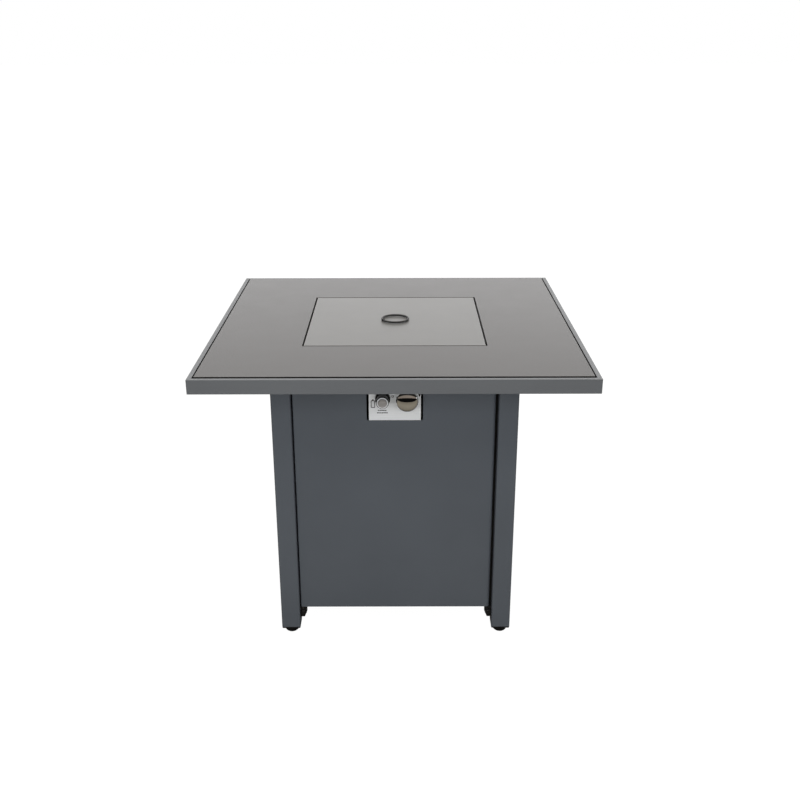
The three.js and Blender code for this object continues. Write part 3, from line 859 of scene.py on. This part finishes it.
def make_burner():
    """Round burner tube with a cross tube, a hub, two rings of gas ports and a threaded nipple."""
    low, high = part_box("burner_ring")
    tube_radius = 0.0095
    height = high.z - tube_radius
    ring_radius = (high.x - low.x) / 2 - tube_radius
    place = upright(0, 0, height)
    burner = turned_piece(
        "burner_tube", circle_profile(ring_radius, tube_radius), place, 128,
        "stainless", "table", ["burner_ring"],
    )

    cross = bmesh.new()
    ends = [Vector((side * ring_radius, 0, height)) for side in (-1, 1)]
    tube(cross, ends, [0.0080, 0.0080], 32)
    hub_radius, hub_half = 0.0180, 0.0090
    hub_profile = rounded([
        (0, -hub_half, 0), (hub_radius, -hub_half, 0.0025), (hub_radius, hub_half, 0.0030),
        (0, hub_half, 0),
    ])
    hub = bmesh.new()
    lathe(hub, hub_profile, place, 64)
    for bm in (cross, hub):
        bmesh.ops.recalc_face_normals(bm, faces=bm.faces)
    combine(burner, [cross, hub], "UNION")

    port_radius = 0.0011
    port_start, port_end = 0.0070, 0.0110
    port = [(0, port_start), (port_radius, port_start), (port_radius, port_end), (0, port_end)]
    ports = bmesh.new()
    for count, tilt in ((48, 25), (36, -25)):
        lean = Matrix.Rotation(math.radians(tilt), 4, "Y")
        seat = Matrix.Translation((ring_radius, 0, height)) @ lean
        for k in range(count):
            around = Matrix.Rotation(math.tau * (k + 0.5) / count, 4, "Z")
            lathe(ports, port, around @ seat, 10)
    bmesh.ops.recalc_face_normals(ports, faces=ports.faces)
    combine(burner, [ports], "DIFFERENCE")

    end = low.z - height
    nipple = [(0, end)] + thread(0.0070, end, end + 0.0140, 0.0014)
    nipple += [(0.0066, -0.0060), (0, -0.0060)]
    turned_piece("burner_nipple", nipple, place, 40, "stainless", "table", ["burner_ring"])


def make_lock_nut():
    """Hexagon nut with chamfered corners, on the burner's nipple."""
    low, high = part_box("burner_lock_nut")
    corner = (high.x - low.x) / 2
    bore = 0.0074
    chamfer = 0.0010
    profile = [(bore, low.z), (corner - chamfer, low.z), (corner, low.z + chamfer),
               (corner, high.z - chamfer), (corner - chamfer, high.z), (bore, high.z)]
    turned_piece("burner_nut", profile, upright(0, 0), 6, "stainless", "table", ["burner_lock_nut"])


def make_electrode():
    """Ribbed ceramic electrode with a bent spark wire."""
    low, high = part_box("ignition_electrode")
    centre = middle("ignition_electrode")
    top = high.z - 0.0120
    body, waist = 0.0030, 0.0024
    profile = [(0, low.z), (0.0027, low.z), (body, low.z + 0.0010)]
    rib = low.z + 0.0300
    while rib < top - 0.0040:
        profile += [(body, rib), (waist, rib + 0.0008), (waist, rib + 0.0014), (body, rib + 0.0022)]
        rib += 0.0032
    profile += [(body, top - 0.0008), (0.0022, top), (0, top)]
    turned_piece(
        "electrode_body", profile, upright(centre.x, centre.y), 32,
        "ceramic", "table", ["ignition_electrode"],
    )
    route = [
        (centre.x, centre.y, top - 0.002), (centre.x, centre.y, high.z - 0.0040),
        (centre.x, centre.y + 0.0010, high.z - 0.0022), (centre.x, centre.y + 0.0020, high.z - 0.0012),
    ]
    path = smooth_path(route, 4)
    drawn_piece(
        "electrode_wire", path, [0.0009] * len(path), 14, "ceramic", "table",
        ["ignition_electrode"], finish="stainless",
    )


def make_thermocouple():
    """Brass sheath that steps down twice towards its tip."""
    low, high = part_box("thermocouple")
    centre = middle("thermocouple")
    base, stem, tip = 0.0025, 0.0021, 0.0015
    neck = low.z + 0.0280
    sheath = rounded([
        (0, low.z, 0), (base, low.z, 0.0004), (base, neck, 0.0003), (stem, neck + 0.0005, 0.0002),
        (stem, high.z - 0.0050, 0.0010), (tip, high.z - 0.0030, 0.0010), (tip, high.z, 0.0012),
        (0, high.z, 0),
    ])
    turned_piece(
        "thermocouple_sheath", sheath, upright(centre.x, centre.y), 32,
        "brass", "table", ["thermocouple"],
    )


def rock_mesh(chooser, size, squat):
    """One rough pebble about the origin, size across."""
    bm = bmesh.new()
    bmesh.ops.create_icosphere(bm, subdivisions=2, radius=size / 2)
    offset = Vector([chooser.uniform(-50, 50) for _ in range(3)])
    stretch = Vector((chooser.uniform(0.8, 1.0), chooser.uniform(0.75, 1.0), squat))
    turn = Euler([chooser.uniform(0, math.tau) if squat > 0.7 else 0.0 for _ in range(2)]
                 + [chooser.uniform(0, math.tau)]).to_matrix()
    for vertex in bm.verts:
        direction = vertex.co.normalized()
        lump = noise.noise(direction * 1.3 + offset) * 0.30 + noise.noise(direction * 3.1 + offset) * 0.16
        shaped = direction * (size / 2) * min(1.0, 0.86 + lump)
        vertex.co = turn @ Vector([shaped[i] * stretch[i] for i in range(3)])
    return bm


# Tries, smallest and largest size, squatness, and floor above the bed's lowest point. The last
# two layers have no floor, because they lie against the lid's underside.
ROCK_LAYERS = (
    (2500, 0.022, 0.030, 0.90, 0.0),
    (3500, 0.019, 0.026, 0.90, 0.017),
    (5000, 0.018, 0.026, 0.42, None),
    (5000, 0.010, 0.014, 0.60, None),
)


def make_rocks():
    """Heap of lava rock in the pan: deep around and inside the burner, one thin layer over it."""
    low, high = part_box("lava_rock_bed")
    guard_low, guard_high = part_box("sensor_bracket")
    burner_low, burner_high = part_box("burner_ring")
    burner_radius = (burner_high.x - burner_low.x) / 2
    guard_margin = 0.003
    guard_depth = -0.100
    chooser = random.Random(11)
    heap = bmesh.new()
    placed = []

    def clear_of_sensors(place, reach):
        margin = guard_margin + reach
        beside = guard_low.x - margin < place.x < guard_high.x + margin
        return not (beside and guard_low.y - margin < place.y < guard_depth + reach)

    def clear_of_burner(place, reach, half_height):
        if place.z - half_height > burner_high.z + 0.0005:
            return True
        from_axis = math.hypot(place.x, place.y)
        outside = from_axis - reach > burner_radius + 0.001
        inside = from_axis + reach < burner_radius - 0.020
        off_cross = abs(place.y) - reach > 0.009 and from_axis - reach > 0.019
        return outside or (inside and off_cross)

    for tries, smallest, largest, squat, floor in ROCK_LAYERS:
        for _ in range(tries):
            size = chooser.uniform(smallest, largest)
            reach = size / 2
            half_height = reach * squat if floor is None else reach
            height = high.z - half_height if floor is None else low.z + floor + half_height
            place = Vector((
                chooser.uniform(low.x + reach, high.x - reach),
                chooser.uniform(low.y + reach, high.y - reach),
                height,
            ))
            if height + half_height > high.z:
                continue
            if not clear_of_sensors(place, reach) or not clear_of_burner(place, reach, half_height):
                continue
            if any((place - other).length < 0.72 * (reach + span) for other, span in placed):
                continue
            placed.append((place, reach))
            rock = rock_mesh(chooser, size, squat)
            bmesh.ops.translate(rock, verts=rock.verts, vec=place)
            mesh = bpy.data.meshes.new("rock")
            rock.to_mesh(mesh)
            rock.free()
            heap.from_mesh(mesh)
            bpy.data.meshes.remove(mesh)
    finish_piece("lava_rocks", heap, "lava_rock", "table", ["lava_rock_bed"], crease=60)


def make_lines():
    """Corrugated gas line from the valve to the mixer, the igniter wire and the sensor lead."""
    knob = middle("control_knob")
    igniter = middle("igniter_collar")
    spark = middle("ignition_electrode")
    sensor = middle("thermocouple")
    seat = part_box("thermocouple")[0].z - 0.0005
    gas_low, gas_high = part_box("gas_line")
    mixer_height = gas_low.z + 0.0055

    gas_route = [
        (0, gas_high.y, mixer_height), (0, -0.0850, mixer_height),
        (0.0100, -0.1180, mixer_height + 0.0030), (knob.x, -0.1550, knob.z),
        (knob.x, gas_low.y, knob.z),
    ]
    path = smooth_path(gas_route, 60)
    corrugated = [0.0049 + 0.0005 * math.sin(1.3 * k) for k in range(len(path))]
    drawn_piece("gas_line_tube", path, corrugated, 20, "stainless", "table", ["gas_line"])

    wire_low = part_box("igniter_wire")[0]
    wire_route = [
        (igniter.x, wire_low.y, igniter.z), (igniter.x, wire_low.y + 0.0085, igniter.z - 0.0010),
        (-0.0340, -0.1450, seat - 0.0130), (spark.x, spark.y - 0.0010, seat - 0.0070),
        (spark.x, spark.y, seat),
    ]
    lead_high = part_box("thermocouple_lead")[1]
    lead_route = [
        (lead_high.x, -0.2020, knob.z), (knob.x - 0.0260, -0.2010, knob.z - 0.0010),
        (-0.0100, -0.1650, seat - 0.0140), (sensor.x, sensor.y - 0.0010, seat - 0.0070),
        (sensor.x, sensor.y, seat),
    ]
    for name, route, radius, slot in (
        ("igniter_wire", wire_route, 0.0015, "black_plastic"),
        ("thermocouple_lead", lead_route, 0.0012, "brass"),
    ):
        path = smooth_path(route, 14)
        drawn_piece(f"{name}_smooth", path, [radius] * len(path), 14, slot, "table", [name])


# ---------------------------------------------------------------- base

def rounded_square(half, corner, z, steps=7):
    """Square outline in plan with rounded corners, about the axis."""
    flat = half - corner
    points = []
    for quarter, (sx, sy) in enumerate(((1, -1), (1, 1), (-1, 1), (-1, -1))):
        start = math.radians(-90 + 90 * quarter)
        for k in range(steps + 1):
            a = start + math.radians(90) * k / steps
            points.append(Vector((sx * flat + corner * math.cos(a), sy * flat + corner * math.sin(a), z)))
    return points


def make_leg(corner):
    """Square tube with rounded corners and open ends."""
    name = f"leg_{corner}"
    low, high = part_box(name)
    wall = 0.0015
    half = (high.x - low.x) / 2
    bend = 0.0032
    axis = Vector((middle(name).x, middle(name).y, 0))
    outlines = [
        rounded_square(half, bend, low.z), rounded_square(half, bend, high.z),
        rounded_square(half - wall, bend - wall, high.z), rounded_square(half - wall, bend - wall, low.z),
    ]
    bm = bmesh.new()
    loft(bm, [[point + axis for point in outline] for outline in outlines], hollow=True)
    finish_piece(f"{name}_tube", bm, "charcoal_paint", "table", [name])


def make_foot(corner):
    """Black plastic glide on a threaded stud that goes up into the leg's cap."""
    name = f"foot_{corner}"
    low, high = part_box(name)
    axis = middle(f"leg_{corner}")
    place = upright(axis.x, axis.y)
    sole = low.z
    radius = (high.x - low.x) / 2
    hub = 0.0070
    hub_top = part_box(f"leg_cap_{corner}")[0].z - 0.0003
    disc = rounded([
        (0, sole, 0), (radius - 0.0030, sole, 0.0008), (radius - 0.0008, sole + 0.0022, 0.0012),
        (radius, sole + 0.0048, 0.0010), (radius, sole + 0.0098, 0.0012),
        (radius - 0.0022, sole + 0.0108, 0.0006), (hub, sole + 0.0109, 0), (hub, hub_top, 0.0002),
        (0, hub_top, 0),
    ])
    stud_start = hub_top - 0.0007
    stud = [(0, stud_start)] + thread(0.0040, stud_start, high.z - 0.0010, 0.00125)
    stud += [(0.0030, high.z), (0, high.z)]
    bm = bmesh.new()
    lathe(bm, disc, place, 56)
    lathe(bm, stud, place, 28)
    finish_piece(f"{name}_glide", bm, "black_plastic", name, [name])


def sheet_loop(path, thickness):
    """Closed outline of a folded sheet from the points of its outer face, in plan."""
    inner = []
    count = len(path)
    for i, point in enumerate(path):
        before = (point - path[i - 1]).normalized() if i else (path[1] - point).normalized()
        after = (path[i + 1] - point).normalized() if i < count - 1 else before
        ahead = (before + after).normalized()
        normal = Vector((-ahead.y, ahead.x))
        stretch = thickness / max(0.3, normal.dot(Vector((-before.y, before.x))))
        inner.append(point + normal * stretch)
    return path + inner[::-1]


def bend_path(points, radii, steps=8):
    """Open path whose square corners are bent to the given radii."""
    path = [points[0]]
    for before, here, after, radius in zip(points, points[1:], points[2:], radii):
        start = here + (before - here).normalized() * radius
        end = here + (after - here).normalized() * radius
        centre = start + end - here
        for k in range(steps + 1):
            turn = math.radians(90) * k / steps
            path.append(centre + (start - centre) * math.cos(turn) + (end - centre) * math.sin(turn))
    return path + [points[-1]]


def make_door():
    """Folded steel door: square hinge edge, finger edge bent to a large radius on the right."""
    low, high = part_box("door")
    sheet = 0.0012
    hinge_bend, finger_bend = 0.0018, 0.007
    outer = [(low.x, high.y), (low.x, low.y), (high.x, low.y), (high.x, high.y)]
    path = bend_path([Vector(point) for point in outer], (hinge_bend, finger_bend), 12)
    loop = sheet_loop(path, sheet)
    bm = bmesh.new()
    loft(bm, [[Vector((p.x, p.y, z)) for p in loop] for z in (low.z, high.z)])
    piece = finish_piece("door_panel", bm, "charcoal_paint", "door", ["door"])

    overlap = 0.9 * sheet
    flanges = [
        block((low.x + overlap, low.y + overlap, z), (high.x - finger_bend, high.y, z + sheet))
        for z in (low.z, high.z - sheet)
    ]
    combine(piece, flanges, "UNION")

    plate_low, plate_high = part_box("control_plate")
    side_gap = 0.0045
    through = 0.01
    notch = block(
        (plate_low.x - side_gap, low.y - through, plate_low.z - 0.001),
        (plate_high.x + side_gap, high.y + through, high.z + through),
    )
    pin = middle("door_pin_lower")
    pin_hole = 0.0021
    holes = [
        round_bar(pin_hole, z - 0.005, z + 0.005, upright(pin.x, pin.y)) for z in (low.z, high.z)
    ]
    combine(piece, [notch] + holes, "DIFFERENCE")


def make_door_pin():
    low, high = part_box("door_pin_lower")
    centre = middle("door_pin_lower")
    radius = 0.0018
    pin = rounded([
        (0, low.z, 0), (radius, low.z, 0.0004), (radius, high.z, 0.0006), (0, high.z, 0),
    ])
    turned_piece(
        "door_lower_pin", pin, upright(centre.x, centre.y), 32,
        "stainless", "table", ["door_pin_lower"],
    )


def make_bracket_bolts():
    """Hexagon bolt with a washer on the end face of each tray bracket."""
    washer_radius, washer_height = 0.0066, 0.0011
    washer = rounded([
        (0, 0, 0), (washer_radius, 0, 0.0002), (washer_radius, washer_height, 0.0003),
        (0, washer_height, 0),
    ])
    corner = 0.0100 / math.sqrt(3)
    chamfer = 0.0006
    head_top = 0.0052
    head = [
        (0, washer_height), (corner - chamfer, washer_height), (corner, washer_height + chamfer),
        (corner, head_top - chamfer), (corner - chamfer, head_top), (0, head_top),
    ]
    for where in CORNERS:
        name = f"tray_bracket_{where}"
        low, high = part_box(name)
        bolt_x = high.x - 0.0072 if "right" in where else low.x + 0.0072
        bolt_z = high.z - 0.0125
        if "back" in where:
            place = facing_front(bolt_x, high.y, bolt_z) @ Matrix.Rotation(math.pi, 4, "X")
        else:
            place = facing_front(bolt_x, low.y, bolt_z)
        bm = bmesh.new()
        lathe(bm, washer, place, 36)
        lathe(bm, head, place, 6)
        finish_piece(f"{name}_bolt", bm, "black_steel", "table")


# ---------------------------------------------------------------- stage and build

def make_floor():
    bpy.ops.mesh.primitive_plane_add(size=60)
    floor = bpy.context.object
    floor.name = "floor"
    floor.data.materials.append(studio_floor("studio_floor"))


make_camera()
make_world()
make_fill_light()
bpy.context.scene.view_settings.view_transform = "Standard"
dress_nodes()
make_knob()
make_igniter()
make_plate_marks()
make_lid_ring()
for corner in CORNERS:
    make_leg(corner)
    make_foot(corner)
make_door()
make_door_pin()
make_bracket_bolts()
make_burner()
make_lock_nut()
make_electrode()
make_thermocouple()
make_rocks()
make_lines()
make_floor()
